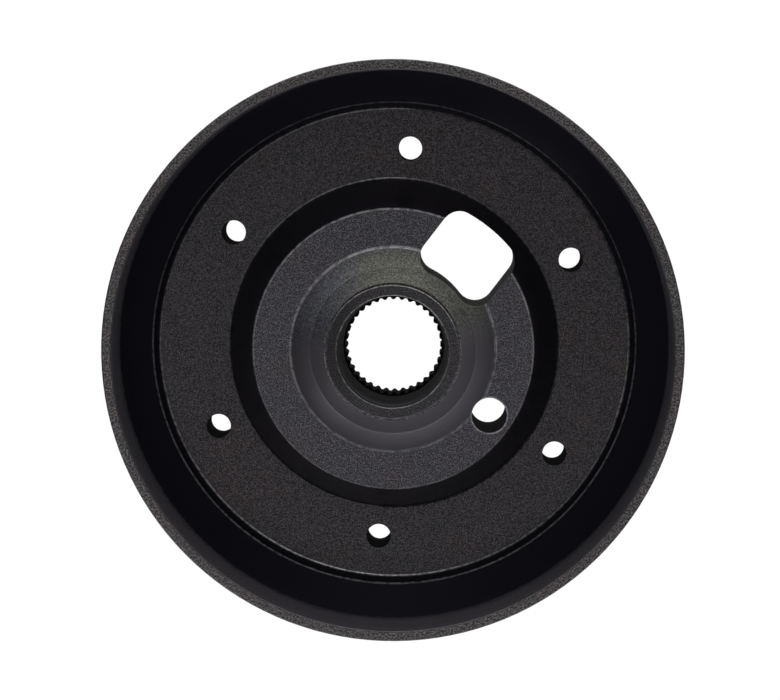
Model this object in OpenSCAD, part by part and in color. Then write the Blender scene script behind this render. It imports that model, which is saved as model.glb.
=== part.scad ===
// Short steering wheel hub adapter: a shallow round dish that joins a wheel with six
// screws to a column with a serrated shaft. It lies on its wheel seat face: Z is the
// column axis, the wheel is below and the column above.

/* [Body] */
// Height from the wheel seat face to the rim
height = 34.8; // [32:0.1:40]
// Diameter of the seat face's outside, next to the wheel
flange_d = 88.4; // [86:0.1:92]
// Thickness of the flange that the screws pass through
flange_t = 13.3; // [11:0.1:14]
// Height of the straight outside of the flange, below the flare
flange_straight_h = 10.4; // [8:0.1:11]
// Diameter of the floor round the tower
floor_d = 84.4; // [83:0.1:85]
// Height of the small step at the floor's outside
step_h = 2.5; // [2:0.1:3]
// Width of the small step at the floor's outside
step_w = 0.9; // [0.5:0.1:1.2]
// Depth from the rim to the outside of the sloping shelf
shelf_depth = 15.7; // [14:0.1:16.5]

/* [Skirt] */
// Outer diameter of the skirt
skirt_d = 101.2; // [100:0.1:102]
// Wall thickness of the skirt
skirt_wall = 1.8; // [1.2:0.1:1.8]
// Length over which the skirt grips the body
skirt_grip = 3; // [2:0.1:4]
// Height of the body's shoulder under the skirt
shoulder_h = 1.2; // [0.8:0.1:2]

/* [Tower] */
// Diameter at the tower's foot
tower_foot_d = 59; // [58:0.1:60]
// Diameter at the tower's top edge
tower_top_d = 49.5; // [48.5:0.1:51]
// Depth from the rim to the tower's flat top
tower_depth = 6.8; // [6:0.1:8]
// Diameter at the foot of the cone round the sleeve
cone_foot_d = 35.9; // [34:0.1:37]
// Diameter of the ring where the cone turns slightly steeper
cone_break_d = 29; // [28:0.1:30]
// Height of that ring above the tower's flat top
cone_break_h = 2.8; // [2.6:0.1:3]
// Depth from the rim to the top of the cone
cone_top_depth = 1.5; // [1.2:0.1:2]
// Width of the narrow land between the cone and the sleeve
land_w = 0.3; // [0.2:0.1:0.5]

/* [Wheel side recess] */
// Diameter of the recess
recess_d = 57; // [56:0.1:58]
// Depth of the recess
recess_depth = 7.7; // [7:0.1:8.5]

/* [Screw holes] */
// Pitch circle of the wheel screws
screw_pcd = 70; // [69:0.1:71]
// Number of wheel screws
screw_count = 6; // [3:1:6]
// Diameter of the holes, tapped for M5
screw_hole_d = 4.3; // [4.2:0.05:5]
// Countersink of each hole at the seat face
screw_lead = 0.5; // [0.3:0.1:0.8]

/* [Pin hole] */
// Diameter of the through hole for the contact pin
pin_hole_d = 6.2; // [5:0.1:7]
// Distance of the hole from the axis
pin_hole_r = 20.5; // [20:0.1:21]
// Direction of the hole, from +X
pin_hole_angle = -30; // [-45:1:0]

/* [Cable window] */
// Radius of the window's inner edge
window_inner_r = 14.7; // [14.6:0.1:15.5]
// Radius of the window's outer edge
window_outer_r = 27; // [26:0.1:27]
// Width of the window
window_w = 15.1; // [12:0.1:15.5]
// Corner radius of the window
window_corner_r = 3.4; // [2:0.1:4]
// Direction of the window, from +X
window_angle = 57; // [50:0.1:62]
// Sideways shift of the window from the line through the axis
window_shift = -0.7; // [-1:0.1:1]

/* [Sleeve] */
// Outer diameter of the sleeve's stem
stem_d = 23.4; // [23:0.1:23.8]
// Depth from the rim to the sleeve's column end
sleeve_depth = 0.3; // [0:0.1:1]
// Diameter of the sleeve's collar
collar_d = 26.4; // [26:0.1:26.8]
// Thickness of the collar
collar_t = 3.7; // [3:0.1:5]
// Distance across the two flats that stop the collar turning
collar_flats = 24.6; // [24:0.1:25]
// Diameter of the round pocket for the column nut
nut_pocket_d = 27; // [26.9:0.1:27.2]
// Depth of that pocket, above the recess
nut_pocket_depth = 3.8; // [3:0.1:5]
// Diameter of the conical lead-in at its mouth
lead_mouth_d = 19.4; // [19:0.1:20]
// Diameter of the lead-in where the serrations start
lead_end_d = 17.9; // [17.6:0.1:18]

/* [Serrations] */
// Number of serrations
tooth_count = 36; // [30:1:40]
// Diameter across the roots
root_d = 17.4; // [17.2:0.1:17.5]
// Diameter across the tips
tip_d = 16.5; // [16.2:0.1:16.8]
// Length of the serrated bore
tooth_length = 8.8; // [7:0.1:10]
// Share of each pitch that is flat at the root and at the tip
tooth_flat = 0.22; // [0.1:0.02:0.3]
// Height of the bevel on the tips at each end
tooth_bevel = 0.8; // [0.4:0.1:1.2]

/* [Edges] */
// Radius of the fillets at the floor, the tower's foot and the cone's foot
fillet_r = 0.5; // [0.3:0.1:0.6]
// Radius of the rounded outer edges
edge_r = 0.3; // [0.2:0.05:0.4]
// Radius of the two edges that meet where the skirt sits on the body
seam_r = 0.2; // [0.1:0.05:0.3]
// Chamfer on the edges that face the wheel
chamfer = 0.6; // [0.3:0.1:1]

/* [Hidden] */
$fn = 180;

BODY_COLOR = "#26262a";
SKIRT_COLOR = "#2e2e31";
SLEEVE_COLOR = "#3a3a3c";

eps = 0.02; // overrun of cutters past a face
overrun = 0.2; // overrun of the bits that round a corner
slack = 0.003; // how far an arc bulges past the sides that it blends
skirt_r = skirt_d / 2;
skirt_bore_r = skirt_r - skirt_wall;
shelf_top = height - shelf_depth;
skirt_base = shelf_top - skirt_grip;
tower_top = height - tower_depth;
cone_top = height - cone_top_depth;
stem_r = stem_d / 2;
collar_base = recess_depth + nut_pocket_depth;
collar_top = collar_base + collar_t;
sleeve_top = height - sleeve_depth;
tooth_top = collar_base + tooth_length;

// Outline of the body's section, one [radius, height, rounding] for each corner.
body_corners = [
    [recess_d / 2 + chamfer, 0, 0],
    [flange_d / 2 - chamfer, 0, 0],
    [flange_d / 2, chamfer, 0],
    [flange_d / 2, flange_straight_h, fillet_r],
    [skirt_r, skirt_base - shoulder_h, edge_r],
    [skirt_r, skirt_base, seam_r],
    [skirt_bore_r, skirt_base, 0],
    [skirt_bore_r, shelf_top, 0],
    [floor_d / 2 + step_w, flange_t + step_h, edge_r],
    [floor_d / 2, flange_t, fillet_r],
    [tower_foot_d / 2, flange_t, fillet_r],
    [tower_top_d / 2, tower_top, edge_r],
    [cone_foot_d / 2, tower_top, fillet_r],
    [cone_break_d / 2, tower_top + cone_break_h, 0],
    [stem_r + land_w, cone_top, 0],
    [stem_r, cone_top, 0],
    [stem_r, collar_base, 0],
    [nut_pocket_d / 2, collar_base, 0],
    [nut_pocket_d / 2, recess_depth, 0],
    [recess_d / 2, recess_depth, fillet_r],
    [recess_d / 2, chamfer, 0],
];

// Section of the skirt: a plain ring whose lip is rounded inside and outside.
skirt_corners = [
    [skirt_bore_r, skirt_base, 0],
    [skirt_r, skirt_base, seam_r],
    [skirt_r, height, edge_r],
    [skirt_bore_r, height, edge_r],
];

// Section of the sleeve, still solid where the serrations are cut.
sleeve_corners = [
    [0, collar_base, 0],
    [collar_d / 2, collar_base, 0],
    [collar_d / 2, collar_top, 0],
    [stem_r, collar_top, 0],
    [stem_r, sleeve_top, edge_r],
    [lead_mouth_d / 2, sleeve_top, edge_r],
    [lead_end_d / 2, tooth_top, 0],
    [0, tooth_top, 0],
];

function point(corner) = [corner[0], corner[1]];
function direction(from, to) = (to - from) / norm(to - from);
function polar(radius, angle) = [radius * cos(angle), radius * sin(angle)];
function turn(a, b, c) = cross(b - a, c - b);

// The bit of a corner at b, on the way from a to c, that lies outside an arc which rounds
// it. It runs a little past the corner, and the arc bulges by slack to cross both sides.
module corner_bit(a, b, c, radius) {
    to_a = direction(b, a);
    to_c = direction(b, c);
    inward = direction([0, 0], to_a + to_c);
    half = acos(to_a * to_c) / 2;
    reach = radius / tan(half);
    centre = b + inward * radius / sin(half);
    difference() {
        polygon([b - inward * overrun, b + to_a * reach, centre, b + to_c * reach]);
        translate(centre) circle(radius + slack);
    }
}

// An outline with its corners rounded by true arcs. It runs anticlockwise, so a left
// turn is an outer corner, which loses its bit, and a right turn gains one.
module rounded_outline(corners) {
    count = len(corners);
    module bits(outer) {
        for (i = [0 : count - 1]) {
            a = point(corners[(i + count - 1) % count]);
            b = point(corners[i]);
            c = point(corners[(i + 1) % count]);
            if (corners[i][2] > 0 && (turn(a, b, c) > 0) == outer)
                corner_bit(a, b, c, corners[i][2]);
        }
    }
    difference() {
        union() {
            polygon([for (corner = corners) point(corner)]);
            bits(false);
        }
        bits(true);
    }
}

// A through hole with a countersink at its lower end.
module drilled_hole(diameter, bottom, top, lead) {
    translate([0, 0, bottom - eps])
        cylinder(h = top - bottom + 2 * eps, d = diameter);
    translate([0, 0, bottom - eps])
        cylinder(h = lead + eps, d1 = diameter + 2 * lead + 2 * eps, d2 = diameter);
}

// The bit of a window corner outside an arc that rounds it. The arc's centre lies at
// centre_r from the axis, and it touches the window's straight side and the circle at arc_r.
module window_corner_bit(centre_r, arc_r, side) {
    side_y = window_shift + side * window_w / 2;
    centre_y = side_y - side * window_corner_r;
    centre = [sqrt(centre_r ^ 2 - centre_y ^ 2), centre_y];
    past_arc = arc_r + sign(arc_r - centre_r) * overrun;
    past_side = side_y + side * overrun;
    difference() {
        polygon([
            centre,
            [centre[0], past_side],
            [sqrt(past_arc ^ 2 - past_side ^ 2), past_side],
            centre * past_arc / centre_r,
        ]);
        translate(centre) circle(window_corner_r + slack);
    }
}

// A stretch of the ring between two circles about the axis, with straight sides and
// round corners.
module window_outline() {
    difference() {
        intersection() {
            difference() {
                circle(window_outer_r);
                circle(window_inner_r);
            }
            translate([0, window_shift - window_w / 2]) square([window_outer_r, window_w]);
        }
        for (side = [-1, 1]) {
            window_corner_bit(window_outer_r - window_corner_r, window_outer_r, side);
            window_corner_bit(window_inner_r + window_corner_r, window_inner_r, side);
        }
    }
}

// A round shape with two flats, for the collar and for the pocket that it drops into.
module flatted_disc(diameter, flats, thickness) {
    linear_extrude(thickness)
        intersection() {
            circle(d = diameter);
            square([diameter, flats], center = true);
        }
}

// The serrated hole: straight-sided grooves between flat roots and flat tips.
module serration_outline() {
    pitch = 360 / tooth_count;
    flat = pitch * tooth_flat / 2;
    polygon([for (i = [0 : tooth_count - 1]) each [
        polar(root_d / 2, i * pitch - flat),
        polar(root_d / 2, i * pitch + flat),
        polar(tip_d / 2, (i + 0.5) * pitch - flat),
        polar(tip_d / 2, (i + 0.5) * pitch + flat),
    ]]);
}

// Turned flange, tower and flared shelf in one piece.
module hub_body() {
    color(BODY_COLOR)
        difference() {
            rotate_extrude() rounded_outline(body_corners);
            translate([0, 0, collar_base - eps])
                flatted_disc(collar_d, collar_flats, collar_t + eps);
            for (i = [0 : screw_count - 1])
                rotate(30 + i * 360 / screw_count)
                    translate([screw_pcd / 2, 0])
                        drilled_hole(screw_hole_d, 0, flange_t, screw_lead);
            rotate(pin_hole_angle)
                translate([pin_hole_r, 0])
                    drilled_hole(pin_hole_d, recess_depth, height, edge_r);
            rotate(window_angle) linear_extrude(height) window_outline();
        }
}

// Thin ring round the column's shroud, pressed over the edge of the shelf.
module skirt_ring() {
    color(SKIRT_COLOR) rotate_extrude() rounded_outline(skirt_corners);
}

// Steel sleeve with a conical lead-in for the column and serrations behind it.
module splined_sleeve() {
    color(SLEEVE_COLOR)
        difference() {
            intersection() {
                rotate_extrude() rounded_outline(sleeve_corners);
                linear_extrude(height) square([collar_d, collar_flats], center = true);
            }
            translate([0, 0, collar_base - eps])
                linear_extrude(tooth_length + 2 * eps) serration_outline();
            translate([0, 0, tooth_top - tooth_bevel])
                cylinder(h = tooth_bevel + eps, d1 = tip_d, d2 = lead_end_d);
            translate([0, 0, collar_base - eps])
                cylinder(h = tooth_bevel + eps, d1 = lead_end_d, d2 = tip_d);
        }
}

hub_body();
skirt_ring();
splined_sleeve();
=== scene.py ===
"""A short steering wheel hub adapter, lying on its wheel side on a bright table."""
import math

import bpy
from mathutils import Matrix, Vector


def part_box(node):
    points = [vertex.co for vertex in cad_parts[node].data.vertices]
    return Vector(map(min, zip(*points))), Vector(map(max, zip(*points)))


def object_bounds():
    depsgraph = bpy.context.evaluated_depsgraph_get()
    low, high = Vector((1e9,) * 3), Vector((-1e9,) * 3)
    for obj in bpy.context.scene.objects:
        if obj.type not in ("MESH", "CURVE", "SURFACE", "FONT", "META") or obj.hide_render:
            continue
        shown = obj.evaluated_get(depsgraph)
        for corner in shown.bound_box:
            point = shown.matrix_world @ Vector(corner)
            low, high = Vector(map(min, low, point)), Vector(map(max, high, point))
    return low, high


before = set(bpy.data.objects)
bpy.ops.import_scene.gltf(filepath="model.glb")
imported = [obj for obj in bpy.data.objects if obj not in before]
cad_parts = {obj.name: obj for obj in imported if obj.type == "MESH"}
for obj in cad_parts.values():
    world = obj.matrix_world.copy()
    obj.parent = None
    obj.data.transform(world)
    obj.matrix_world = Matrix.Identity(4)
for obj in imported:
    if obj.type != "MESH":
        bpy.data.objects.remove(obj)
CAD_LOW, CAD_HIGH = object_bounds()

MM = 0.001
RIM_CENTRE = Vector((0, 0, CAD_HIGH.z))
RIM_RADIUS = CAD_HIGH.x
SLEEVE_LOW, SLEEVE_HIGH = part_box("splined_sleeve")

# Camera: nearly straight above the open side
CAMERA_DISTANCE = 0.5716
CAMERA_AZIMUTH = math.radians(83.1)
CAMERA_TILT = math.radians(4.41)
CAMERA_ROLL = math.radians(4.62)
CAMERA_LENS = 152.3
SENSOR_WIDTH = 36
CAMERA_AIM = RIM_CENTRE + Vector((-0.47, 0.33, 0)) * MM

TABLE_SIZE = 60 * RIM_RADIUS

# Sky: a band of light all round, from and to these angles from overhead in degrees
SKY_BAND_LOW = (89, 83)
SKY_BAND_HIGH = (76, 68)
# Its strength towards this turn and away from it, and on the two sides between
SKY_TURN = math.radians(94.6)
SKY_SIDE_POWER = 1.6
SKY_SIDE_EDGE = 0.2
SKY_FRONT = 5.0
SKY_BACK = 3.1
SKY_LEFT = 1.3
SKY_RIGHT = 1.8
# Light from below: its strength straight down and near the horizon, and their heights
SKY_UNDER = 0.02
SKY_TABLE = 0.55
SKY_UNDER_HEIGHTS = (-0.9, -0.6)
SKY_HORIZON_HEIGHTS = (-0.05, 0.0)
# Pools of light: azimuth, angle from overhead, spread, strength
SKY_POOLS = (
    (math.radians(262), math.radians(17), math.radians(22), 2.3),
    (math.radians(95), math.radians(24), math.radians(20), 1.7),
    (math.radians(230), math.radians(95), math.radians(25), 2.2),
)

# Heights of the faces
FLOOR_TOP = 13.3 * MM
TOWER_TOP = 28.0 * MM
TEETH_TOP = SLEEVE_LOW.z + 8.8 * MM

# Edges of the turned shape, as (radius, height): a painted highlight runs along them as a
# light line
TOWER_EDGE = (24.7 * MM, TOWER_TOP)
TOWER_FOOT = (29.5 * MM, FLOOR_TOP)
CONE_FOOT = (17.95 * MM, TOWER_TOP)
CONE_BREAK = (14.5 * MM, TOWER_TOP + 2.8 * MM)
FLOOR_EDGE = (42.2 * MM, FLOOR_TOP)
STEP_EDGE = (43.1 * MM, FLOOR_TOP + 2.5 * MM)
SLEEVE_EDGE = (11.7 * MM, SLEEVE_HIGH.z)
MOUTH_EDGE = (9.7 * MM, SLEEVE_HIGH.z)

# Each edge with a painted highlight, with its strength towards -Y and towards +Y, which
# blend over the turn length below
HIGHLIGHT_CORE = 0.132 * MM
HIGHLIGHT_WIDTH = 0.33 * MM
HIGHLIGHT_TURN = 15 * MM
HIGHLIGHT_GAPS = (0.3, 0.6, 0.4, 1.0)
BODY_HIGHLIGHTS = (
    (TOWER_EDGE, 0.12, 0.42),
    (TOWER_FOOT, 0.1, 0.6),
    (CONE_FOOT, 0.2, 0.4),
    (CONE_BREAK, 0.03, 0.0),
    (FLOOR_EDGE, 1.0, 0.4),
    (STEP_EDGE, 0.8, 0.35),
)
SLEEVE_HIGHLIGHTS = (
    (SLEEVE_EDGE, 0.06, 0.2),
    (MOUTH_EDGE, 0.14, 0.2),
)
# Strength of the painted highlight round the pin hole's edge
PIN_HIGHLIGHT = 0.35

# Tapped holes
SCREW_CIRCLE_RADIUS = 35 * MM
SCREW_HOLE_RADIUS = 2.2 * MM
SCREW_COUNT = 6
SCREW_TURN = math.radians(30)
THREAD_PITCH = 0.8 * MM
THREAD_DEPTH = 0.25 * MM

# Pin hole
PIN_CENTRE = (17.75 * MM, -10.25 * MM)
PIN_EDGE = (3.1 * MM, TOWER_TOP)

# Cable window
WINDOW_CENTRE = (12 * MM, 17.4 * MM)
WINDOW_REACH = 12 * MM

# Grain of the blasted faces, and rings left by the lathe
GRAIN_SIZE = 0.25 * MM
LIP_GRAIN_SIZE = 0.3 * MM
GRAIN_DEPTH = 0.02 * MM
RING_SIZE = 0.25 * MM
RING_DEPTH = 0.004 * MM
BLOTCH_SIZE = 9 * MM
NOISE_ROUGHNESS = 0.6
# Ramps over a noise: from, to, value at the low end, value at the high end
SPECKLE = (0.36, 0.7, 0.2, 2.9)
LUMP_SHADE = (0.3, 0.7, 0.8, 1.2)
RING_SHADE = (0.3, 0.7, 0.93, 1.07)
GRAIN_ROUGHNESS = (0.3, 0.7, 0.08, 0.16)
BLOTCH_EDGE = (0.42, 0.62)
# How level a face is where the grain starts and where it is full
FLAT_EDGE = (0.88, 0.97)
# Walls and undersides, for the grain outside, have a normal that points up less than this
UPRIGHT = 0.1
OUTER_GRAIN_FADE = 0.2 * MM
# The cone round the sleeve gets a painted sheen, a tinted tone with speckled glints, about
# this direction
CONE_SHEEN_TURN = math.radians(100)
CONE_SHEEN_EDGE = (-0.05, 0.45)
CONE_SHEEN_SPECKLE = 0.7
CONE_SHEEN_FADE = 0.5 * MM
COAT_METALLIC = 0.7
SMOOTH_ROUGHNESS = 0.27

# Tones of the coat, face by face: one black coat, with part of the light and shade that
# falls on each face painted into its tone
OUTSIDE_TONE = (0.028, 0.027, 0.030)
WALL_TONE = (0.060, 0.054, 0.077)
SHELF_TONE = (0.040, 0.036, 0.054)
FLOOR_TONE = (0.022, 0.020, 0.023)
DISC_TONE = (0.038, 0.037, 0.044)
CONE_TONE = (0.032, 0.029, 0.035)
CONE_TOP_TONE = (0.074, 0.067, 0.078)
# Painted sheen on one side of the cone round the sleeve: olive, turning bluish towards the
# left between the two x values
CONE_SHEEN_TONE = (0.036, 0.036, 0.031)
CONE_SHEEN_LEFT_TONE = (0.032, 0.033, 0.040)
CONE_SHEEN_LEFT_EDGE = (-4 * MM, -13 * MM)
# Skirt's inner wall: the lower tone is painted light, lighter towards the foot against the
# shade there
SKIRT_FOOT_LIT_TONE = (0.23, 0.215, 0.24)
SKIRT_HIGH_TONE = (0.135, 0.127, 0.143)
LIP_TONE = (0.050, 0.047, 0.049)
SLEEVE_TONE = (0.022, 0.021, 0.024)
# Painted shade: the collar's flat face is darker on its left, a painted dark reflection
SLEEVE_LEFT_SHADE_TONE = (0.010, 0.0095, 0.011)
# Painted light: the bore's lead-in is light grey for the table's light that shines up
# through it
LEAD_IN_LIT_TONE = (0.19, 0.18, 0.20)
TEETH_TONE = (0.020, 0.020, 0.021)
# Painted shade: the walls of the tapped holes are near-black
HOLE_SHADE_TONE = (0.003, 0.003, 0.003)
# Painted light: the cable window's walls are light grey for the light that falls on them
WINDOW_WALL_LIT_TONE = (0.40, 0.395, 0.37)
# Painted highlight: the light tone of the lines along the edges
EDGE_HIGHLIGHT_TONE = (0.60, 0.59, 0.60)
WARM_TINT = (1.08, 0.97, 0.97)

# Regions of one coat, each over the ones before: measure, start, full, tone
BODY_REGIONS = (
    ("radius", 0, 0, WALL_TONE),
    ("radius", FLOOR_EDGE[0] + 0.2 * MM, FLOOR_EDGE[0] + 0.7 * MM, SHELF_TONE),
    ("up", 0.1, 0.02, OUTSIDE_TONE),
    ("level", 0.88, 0.96, FLOOR_TONE),
    ("z", TOWER_TOP - 0.6 * MM, TOWER_TOP - 0.2 * MM, DISC_TONE),
    ("z", TOWER_TOP + 0.1 * MM, TOWER_TOP + 0.6 * MM, CONE_TONE),
    ("z", CONE_BREAK[1] - 0.1 * MM, CONE_BREAK[1] + 0.1 * MM, CONE_TOP_TONE),
)
SKIRT_WALL_START = RIM_RADIUS - 1 * MM
SKIRT_WALL_FULL = RIM_RADIUS - 1.5 * MM
SKIRT_REGIONS = (
    ("radius", 0, 0, SKIRT_HIGH_TONE),
    # Painted light towards the foot of the skirt's inner wall
    ("z", CAD_HIGH.z - 4 * MM, FLOOR_TOP + 8 * MM, SKIRT_FOOT_LIT_TONE),
    ("radius", SKIRT_WALL_FULL, SKIRT_WALL_START, OUTSIDE_TONE),
    ("level", 0.3, 0.7, LIP_TONE),
)
SLEEVE_REGIONS = (
    ("radius", 0, 0, SLEEVE_TONE),
    # Painted shade on the left of the collar
    ("x", -4 * MM, -10.5 * MM, SLEEVE_LEFT_SHADE_TONE),
    # Painted light on the bore's lead-in
    ("radius", MOUTH_EDGE[0], MOUTH_EDGE[0] - 0.2 * MM, LEAD_IN_LIT_TONE),
    ("z", TEETH_TOP + 0.5 * MM, TEETH_TOP, TEETH_TONE),
)


class Tree:
    """Adds shader nodes by formula, so that a material reads like its recipe."""

    def __init__(self, owner):
        owner.use_nodes = True
        self.nodes = owner.node_tree.nodes
        self.links = owner.node_tree.links

    def add(self, kind, **settings):
        made = self.nodes.new("ShaderNode" + kind)
        for name, value in settings.items():
            setattr(made, name, value)
        return made

    def feed(self, socket, value):
        """Links a socket to another node's output, or sets it to a number or colour."""
        if isinstance(value, bpy.types.NodeSocket):
            self.links.new(value, socket)
        elif socket.type == "RGBA":
            socket.default_value = (*value, 1)
        else:
            socket.default_value = value

    def math(self, operation, *values):
        made = self.add("Math", operation=operation)
        for socket, value in zip(made.inputs, values):
            self.feed(socket, value)
        return made.outputs[0]

    def plus(self, first, second):
        return self.math("ADD", first, second)

    def minus(self, first, second):
        return self.math("SUBTRACT", first, second)

    def times(self, first, second):
        return self.math("MULTIPLY", first, second)

    def larger(self, first, second):
        return self.math("MAXIMUM", first, second)

    def length(self, first, second):
        squares = self.plus(self.times(first, first), self.times(second, second))
        return self.math("SQRT", squares)

    def ramp(self, value, start, end, low=0.0, high=1.0):
        """Goes smoothly from low at start to high at end."""
        made = self.add("MapRange", interpolation_type="SMOOTHSTEP")
        for socket, number in zip(made.inputs, (value, start, end, low, high)):
            self.feed(socket, number)
        return made.outputs[0]

    def blend(self, share, first, second):
        made = self.add("Mix", data_type="RGBA")
        self.feed(made.inputs[0], share)
        self.feed(made.inputs[6], first)
        self.feed(made.inputs[7], second)
        return made.outputs[2]

    def scale(self, colour, factor):
        made = self.add("VectorMath", operation="SCALE")
        self.feed(made.inputs[0], colour)
        self.feed(made.inputs["Scale"], factor)
        return made.outputs[0]

    def tint(self, colour, by):
        made = self.add("VectorMath", operation="MULTIPLY")
        self.feed(made.inputs[0], colour)
        self.feed(made.inputs[1], by)
        return made.outputs[0]

    def split(self, vector):
        made = self.add("SeparateXYZ")
        self.feed(made.inputs[0], vector)
        return made.outputs

    def noise(self, vector, size, detail=0.0):
        made = self.add("TexNoise")
        self.feed(made.inputs["Vector"], vector)
        made.inputs["Scale"].default_value = 1 / size
        made.inputs["Detail"].default_value = detail
        made.inputs["Roughness"].default_value = NOISE_ROUGHNESS
        return made.outputs["Fac"]


class Place:
    """Where a point of the surface lies, in the frame of the object."""

    def __init__(self, tree):
        coordinates = tree.add("TexCoord")
        self.point = coordinates.outputs["Object"]
        self.x, self.y, self.z = tree.split(self.point)
        self.radius = tree.length(self.x, self.y)
        self.angle = tree.math("ARCTAN2", self.y, self.x)
        self.up = tree.split(coordinates.outputs["Normal"])[2]
        self.level = tree.math("ABSOLUTE", self.up)
        section = tree.add("CombineXYZ")
        tree.feed(section.inputs[0], self.radius)
        tree.feed(section.inputs[1], self.z)
        self.section = section.outputs[0]

    def from_axis(self, tree, centre):
        """Distance from an upright axis through this centre."""
        return tree.length(tree.minus(self.x, centre[0]), tree.minus(self.y, centre[1]))


class ScrewHoles:
    """Where a point lies from the axis of the nearest screw hole."""

    def __init__(self, tree, place):
        step = 2 * math.pi / SCREW_COUNT
        angle = tree.minus(place.angle, SCREW_TURN)
        turns = tree.math("ROUND", tree.math("DIVIDE", angle, step))
        angle = tree.minus(angle, tree.times(turns, step))
        across = tree.times(place.radius, tree.math("SINE", angle))
        along = tree.times(place.radius, tree.math("COSINE", angle))
        along = tree.minus(along, SCREW_CIRCLE_RADIUS)
        distance = tree.length(across, along)
        self.inside = tree.math("LESS_THAN", distance, SCREW_HOLE_RADIUS)
        climb = tree.times(place.z, 2 * math.pi / THREAD_PITCH)
        around = tree.math("ARCTAN2", across, along)
        wave = tree.math("SINE", tree.minus(climb, around))
        self.thread = tree.times(wave, self.inside)


def near_edge(tree, place, distance, edge):
    """One on the circle of an edge, falling to none a little way off."""
    out = tree.minus(distance, edge[0])
    over = tree.minus(place.z, edge[1])
    return tree.ramp(tree.length(out, over), HIGHLIGHT_CORE, HIGHLIGHT_WIDTH, 1.0, 0.0)


def painted_edge_highlights(tree, place, highlight_edges, lumps, is_drilled):
    """How strongly the painted highlight shows along the edges."""
    edge_glint = 0.0
    for edge, lower_share, upper_share in highlight_edges:
        share = tree.ramp(place.y, -HIGHLIGHT_TURN, HIGHLIGHT_TURN, lower_share, upper_share)
        line = tree.times(near_edge(tree, place, place.radius, edge), share)
        edge_glint = tree.larger(edge_glint, line)
    if is_drilled:
        from_pin = place.from_axis(tree, PIN_CENTRE)
        line = tree.times(near_edge(tree, place, from_pin, PIN_EDGE), PIN_HIGHLIGHT)
        edge_glint = tree.larger(edge_glint, line)
    return tree.times(edge_glint, tree.ramp(lumps, *HIGHLIGHT_GAPS))


def window_walls(tree, place):
    """One on the upright walls of the cable window, and none elsewhere."""
    distance = place.from_axis(tree, WINDOW_CENTRE)
    near = tree.math("LESS_THAN", distance, WINDOW_REACH)
    upright = tree.math("LESS_THAN", place.level, UPRIGHT)
    return tree.times(near, upright)


def painted_cone_sheen(tree, place):
    """One on the side of the cone round the sleeve that has the painted sheen, and none
    elsewhere.
    """
    angle = tree.minus(place.angle, CONE_SHEEN_TURN)
    share = tree.ramp(tree.math("COSINE", angle), *CONE_SHEEN_EDGE)
    above = tree.ramp(place.z, TOWER_TOP, TOWER_TOP + CONE_SHEEN_FADE)
    return tree.times(share, above)


def coat_tone(tree, place, regions):
    """The coat's tone: the first region's, with each later one blended over it."""
    tone = regions[0][3]
    for measure, start, full, region_tone in regions[1:]:
        share = tree.ramp(getattr(place, measure), start, full)
        tone = tree.blend(share, tone, region_tone)
    return tone


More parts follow.
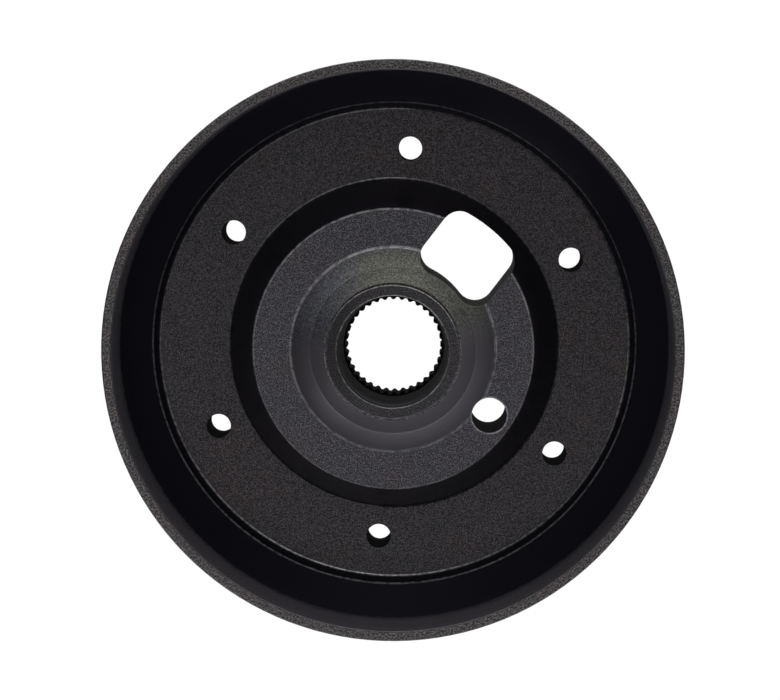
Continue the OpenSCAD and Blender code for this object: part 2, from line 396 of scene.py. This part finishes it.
def black_coat(name, regions, highlight_edges, grain_size, outer_grain_from, is_drilled=False):
    """Black coat over blasted metal: grainy on what faces up, turned rings on the walls.
    Its tones carry painted light and shade face by face, with a painted sheen on the cone
    and painted highlights along the edges.
    """
    material = bpy.data.materials.new(name)
    tree = Tree(material)
    shader = tree.nodes["Principled BSDF"]
    place = Place(tree)
    grain = tree.noise(place.point, grain_size, 1.0)
    lumps = tree.noise(place.point, grain_size * 3)
    blotch = tree.noise(place.point, BLOTCH_SIZE, 2.0)
    rings = tree.noise(place.section, RING_SIZE, 1.0)

    flat = tree.ramp(place.level, *FLAT_EDGE)
    outer_grain_full = outer_grain_from + OUTER_GRAIN_FADE
    outside = tree.ramp(place.radius, outer_grain_from, outer_grain_full)
    outside = tree.times(outside, tree.math("LESS_THAN", place.up, UPRIGHT))
    grainy = tree.larger(flat, outside)
    colour = coat_tone(tree, place, regions)
    # Painted sheen: one side of the cone gets a tinted tone and extra speckle, as glints
    # where light falls on it
    if is_drilled:
        cone = painted_cone_sheen(tree, place)
        grainy = tree.larger(grainy, tree.times(cone, CONE_SHEEN_SPECKLE))
        left = tree.ramp(place.x, *CONE_SHEEN_LEFT_EDGE)
        tone = tree.blend(left, CONE_SHEEN_TONE, CONE_SHEEN_LEFT_TONE)
        colour = tree.blend(cone, colour, tone)

    speckle = tree.times(tree.ramp(grain, *SPECKLE), tree.ramp(lumps, *LUMP_SHADE))
    factor = tree.plus(tree.times(tree.minus(speckle, 1.0), grainy), 1.0)
    factor = tree.times(factor, tree.ramp(rings, *RING_SHADE))
    colour = tree.scale(colour, factor)
    warm = tree.times(tree.ramp(blotch, *BLOTCH_EDGE), flat)
    colour = tree.blend(warm, colour, tree.tint(colour, WARM_TINT))
    # Painted highlights: light lines along the edges, stronger on one side than the other
    edge_glint = painted_edge_highlights(tree, place, highlight_edges, lumps, is_drilled)
    colour = tree.blend(edge_glint, colour, EDGE_HIGHLIGHT_TONE)

    height = tree.times(tree.times(grain, grainy), GRAIN_DEPTH)
    height = tree.plus(height, tree.times(rings, RING_DEPTH))
    if is_drilled:
        holes = ScrewHoles(tree, place)
        # Painted shade inside the tapped holes
        colour = tree.blend(holes.inside, colour, HOLE_SHADE_TONE)
        # Painted light on the walls of the cable window
        colour = tree.blend(window_walls(tree, place), colour, WINDOW_WALL_LIT_TONE)
        height = tree.plus(height, tree.times(holes.thread, THREAD_DEPTH))
    bump = tree.add("Bump")
    bump.inputs["Distance"].default_value = 1.0
    bump.inputs["Strength"].default_value = 1.0
    tree.feed(bump.inputs["Height"], height)

    rough = tree.times(tree.ramp(lumps, *GRAIN_ROUGHNESS), grainy)
    tree.feed(shader.inputs["Base Color"], colour)
    tree.feed(shader.inputs["Metallic"], COAT_METALLIC)
    tree.feed(shader.inputs["Roughness"], tree.plus(rough, SMOOTH_ROUGHNESS))
    tree.feed(shader.inputs["Normal"], bump.outputs[0])
    return material


def make_camera():
    """Looks at the open side from a direction given by its tilt away from the axis."""
    data = bpy.data.cameras.new("camera")
    data.sensor_width = SENSOR_WIDTH
    data.lens = CAMERA_LENS
    camera = bpy.data.objects.new("camera", data)
    bpy.context.scene.collection.objects.link(camera)
    back = Vector((
        math.sin(CAMERA_TILT) * math.cos(CAMERA_AZIMUTH),
        math.sin(CAMERA_TILT) * math.sin(CAMERA_AZIMUTH),
        math.cos(CAMERA_TILT),
    ))
    up = Vector((-math.sin(CAMERA_ROLL), math.cos(CAMERA_ROLL), 0))
    right = up.cross(back).normalized()
    turn = Matrix((right, back.cross(right), back)).transposed().to_4x4()
    camera.matrix_world = Matrix.Translation(CAMERA_AIM + back * CAMERA_DISTANCE) @ turn
    bpy.context.scene.camera = camera


def make_table():
    """A bright table that the camera sees, and that doesn't light the holes' walls."""
    mesh = bpy.data.meshes.new("table")
    half = TABLE_SIZE / 2
    corners = [(-half, -half, 0), (half, -half, 0), (half, half, 0), (-half, half, 0)]
    mesh.from_pydata(corners, [], [(0, 1, 2, 3)])
    table = bpy.data.objects.new("table", mesh)
    bpy.context.scene.collection.objects.link(table)
    material = bpy.data.materials.new("light_table")
    tree = Tree(material)
    shader = tree.nodes["Principled BSDF"]
    tree.feed(shader.inputs["Base Color"], (0, 0, 0))
    tree.feed(shader.inputs["Emission Color"], (1, 1, 1))
    tree.feed(shader.inputs["Emission Strength"], 1.0)
    mesh.materials.append(material)
    table.visible_diffuse = False
    table.visible_glossy = False


def sky_height(from_overhead):
    """Height on the unit sky of an angle from overhead, in degrees."""
    return math.cos(math.radians(from_overhead))


def light_pool(tree, towards, azimuth, polar, spread, strength):
    """A soft round patch of light on the sky, at its angle from overhead."""
    centre = (
        math.sin(polar) * math.cos(azimuth),
        math.sin(polar) * math.sin(azimuth),
        math.cos(polar),
    )
    dot = tree.add("VectorMath", operation="DOT_PRODUCT")
    tree.feed(dot.inputs[0], towards)
    tree.feed(dot.inputs[1], centre)
    reach = tree.ramp(dot.outputs["Value"], math.cos(spread), 1.0)
    return tree.times(reach, strength)


def make_sky():
    """Soft light from low down all round, strongest at two sides, with a few pools.

    The camera itself sees plain white past the table.
    """
    world = bpy.data.worlds.new("world")
    bpy.context.scene.world = world
    tree = Tree(world)
    background = tree.nodes["Background"]
    towards = tree.add("TexCoord").outputs["Generated"]
    x, y, z = tree.split(towards)

    azimuth = tree.minus(tree.math("ARCTAN2", y, x), SKY_TURN)
    ahead = tree.math("COSINE", azimuth)
    sides = tree.math("POWER", tree.math("ABSOLUTE", ahead), SKY_SIDE_POWER)
    strength = tree.ramp(ahead, -SKY_SIDE_EDGE, SKY_SIDE_EDGE, SKY_BACK, SKY_FRONT)
    sides = tree.times(sides, strength)
    across = tree.ramp(tree.math("SINE", azimuth), -1, 1, SKY_RIGHT, SKY_LEFT)
    band = tree.ramp(z, *map(sky_height, SKY_BAND_LOW))
    band = tree.times(band, tree.ramp(z, *map(sky_height, SKY_BAND_HIGH), 1.0, 0.0))
    total = tree.times(band, tree.plus(sides, across))

    below = tree.ramp(z, *SKY_UNDER_HEIGHTS, SKY_UNDER, SKY_TABLE)
    below = tree.times(below, tree.ramp(z, *SKY_HORIZON_HEIGHTS, 1.0, 0.0))
    total = tree.plus(total, below)
    for pool in SKY_POOLS:
        total = tree.plus(total, light_pool(tree, towards, *pool))
    camera = tree.add("LightPath").outputs["Is Camera Ray"]
    tree.feed(background.inputs["Strength"], tree.larger(total, camera))
    tree.feed(background.inputs["Color"], (1, 1, 1))


make_camera()
make_table()
make_sky()
COATS = {
    "hub_body": black_coat(
        "coated_aluminium", BODY_REGIONS, BODY_HIGHLIGHTS,
        GRAIN_SIZE, STEP_EDGE[0] + 0.5 * MM, is_drilled=True,
    ),
    "skirt_ring": black_coat(
        "coated_skirt", SKIRT_REGIONS, (),
        LIP_GRAIN_SIZE, SKIRT_WALL_START,
    ),
    "splined_sleeve": black_coat(
        "blackened_steel", SLEEVE_REGIONS, SLEEVE_HIGHLIGHTS,
        GRAIN_SIZE, RIM_RADIUS,
    ),
}
for name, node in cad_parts.items():
    node.data.materials.clear()
    node.data.materials.append(COATS[name])
bpy.context.scene.view_settings.view_transform = "Standard"
